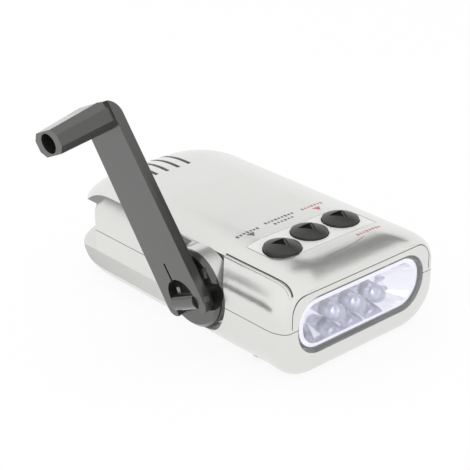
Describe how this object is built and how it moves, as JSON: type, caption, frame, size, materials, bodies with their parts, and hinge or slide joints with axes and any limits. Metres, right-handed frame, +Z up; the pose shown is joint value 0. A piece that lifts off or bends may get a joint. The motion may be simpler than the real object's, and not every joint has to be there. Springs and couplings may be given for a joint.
{
  "type": "hand crank flashlight",
  "caption": "Palm-sized light with lamps behind a clear front lens, domed buttons on the roof and a flip-out crank that drives a geared generator.",
  "frame": {"origin": "middle of the flat base, on the surface that the light stands on", "axes": "+X to the right side, -Y out of the lens, +Z up; the crank is on the left side"},
  "size_m": [0.0902, 0.0974, 0.0696],
  "materials": {
    "case_silver": "satin metallic paint",
    "charcoal": "glossy moulding",
    "button_grey": "satin moulding",
    "plate_silver": "satin",
    "clear": "clear polished",
    "bright": "plated",
    "lamp_clear": "clear moulding",
    "steel": "ground",
    "zinc": "plated sheet",
    "black_steel": "blackened",
    "bronze": "sintered",
    "nylon": "natural nylon",
    "copper": "enamelled wire",
    "magnet": "pressed magnet",
    "board_green": "coated board",
    "cell_steel": "plated cell",
    "sleeve_blue": "shrink film",
    "capacitor_black": "sleeved can",
    "black_plastic": "moulded"
  },
  "bodies": {
    "root": {"upper_shell": "case_silver", "lower_shell": "case_silver", "lens": "clear", "reflector": "bright", "led_left": "lamp_clear", "led_middle": "lamp_clear", "led_right": "lamp_clear", "led_board": "board_green", "switch_left": "black_plastic", "switch_middle": "black_plastic", "switch_right": "black_plastic", "switch_board": "board_green", "button_plate": "plate_silver", "shaft_bush": "bronze", "idler_axles": "steel", "gear_plate_left": "zinc", "gear_plate_right": "zinc", "gearbox_pillars": "zinc", "gearbox_screws": "steel", "generator_can": "zinc", "stator_core": "steel", "stator_coils": "copper", "battery_cells": "cell_steel", "battery_sleeve": "sleeve_blue", "main_board": "board_green", "capacitor": "capacitor_black", "board_chips": "black_plastic", "buzzer": "black_plastic", "board_screws": "steel", "case_screws": "black_steel"},
    "crank": {"crank_disc": "charcoal", "crank_shaft": "steel", "drive_gear": "nylon", "shaft_clip": "black_steel", "hinge_pin": "steel"},
    "arm": {"crank_arm": "charcoal"},
    "left_button": {"button_left": "button_grey", "plunger_left": "nylon"},
    "middle_button": {"button_middle": "button_grey", "plunger_middle": "nylon"},
    "right_button": {"button_right": "button_grey", "plunger_right": "nylon"},
    "idler_1": {"idler_gear_1": "nylon"},
    "idler_2": {"idler_gear_2": "nylon"},
    "rotor": {"rotor_pinion": "bronze", "rotor_shaft": "steel", "rotor_magnet": "magnet"}
  },
  "joints": [
    {"name": "crank_spin", "type": "hinge", "parent": "root", "child": "crank", "pos_m": [-0.0307, -0.014, 0.017], "axis": [1, 0, 0], "continuous": true},
    {"name": "arm_fold", "type": "hinge", "parent": "crank", "child": "arm", "pos_m": [-0.0325, -0.01519, 0.01447], "axis": [0, 0.9048, -0.4258], "range_deg": [-170.6, 0]},
    {"name": "idler_1_spin", "type": "hinge", "parent": "root", "child": "idler_1", "pos_m": [-0.0104, -0.00485, 0.01172], "axis": [1, 0, 0], "continuous": true},
    {"name": "idler_2_spin", "type": "hinge", "parent": "root", "child": "idler_2", "pos_m": [-0.0104, 0.00447, 0.01549], "axis": [1, 0, 0], "continuous": true},
    {"name": "rotor_spin", "type": "hinge", "parent": "root", "child": "rotor", "pos_m": [-0.0104, 0.01433, 0.01348], "axis": [1, 0, 0], "continuous": true},
    {"name": "press_left", "type": "slide", "parent": "root", "child": "left_button", "axis": [0, 0, -1], "range_m": [0, 0.0006], "stiffness_N_per_m": 400, "springref_m": -0.0006},
    {"name": "press_middle", "type": "slide", "parent": "root", "child": "middle_button", "axis": [0, 0, -1], "range_m": [0, 0.0006], "stiffness_N_per_m": 400, "springref_m": -0.0006},
    {"name": "press_right", "type": "slide", "parent": "root", "child": "right_button", "axis": [0, 0, -1], "range_m": [0, 0.0006], "stiffness_N_per_m": 400, "springref_m": -0.0006}
  ],
  "couplings": [
    {"joint": "idler_1_spin", "follows": "crank_spin", "ratio": -3.2},
    {"joint": "idler_2_spin", "follows": "crank_spin", "ratio": 9.6},
    {"joint": "rotor_spin", "follows": "crank_spin", "ratio": -28.8}
  ]
}
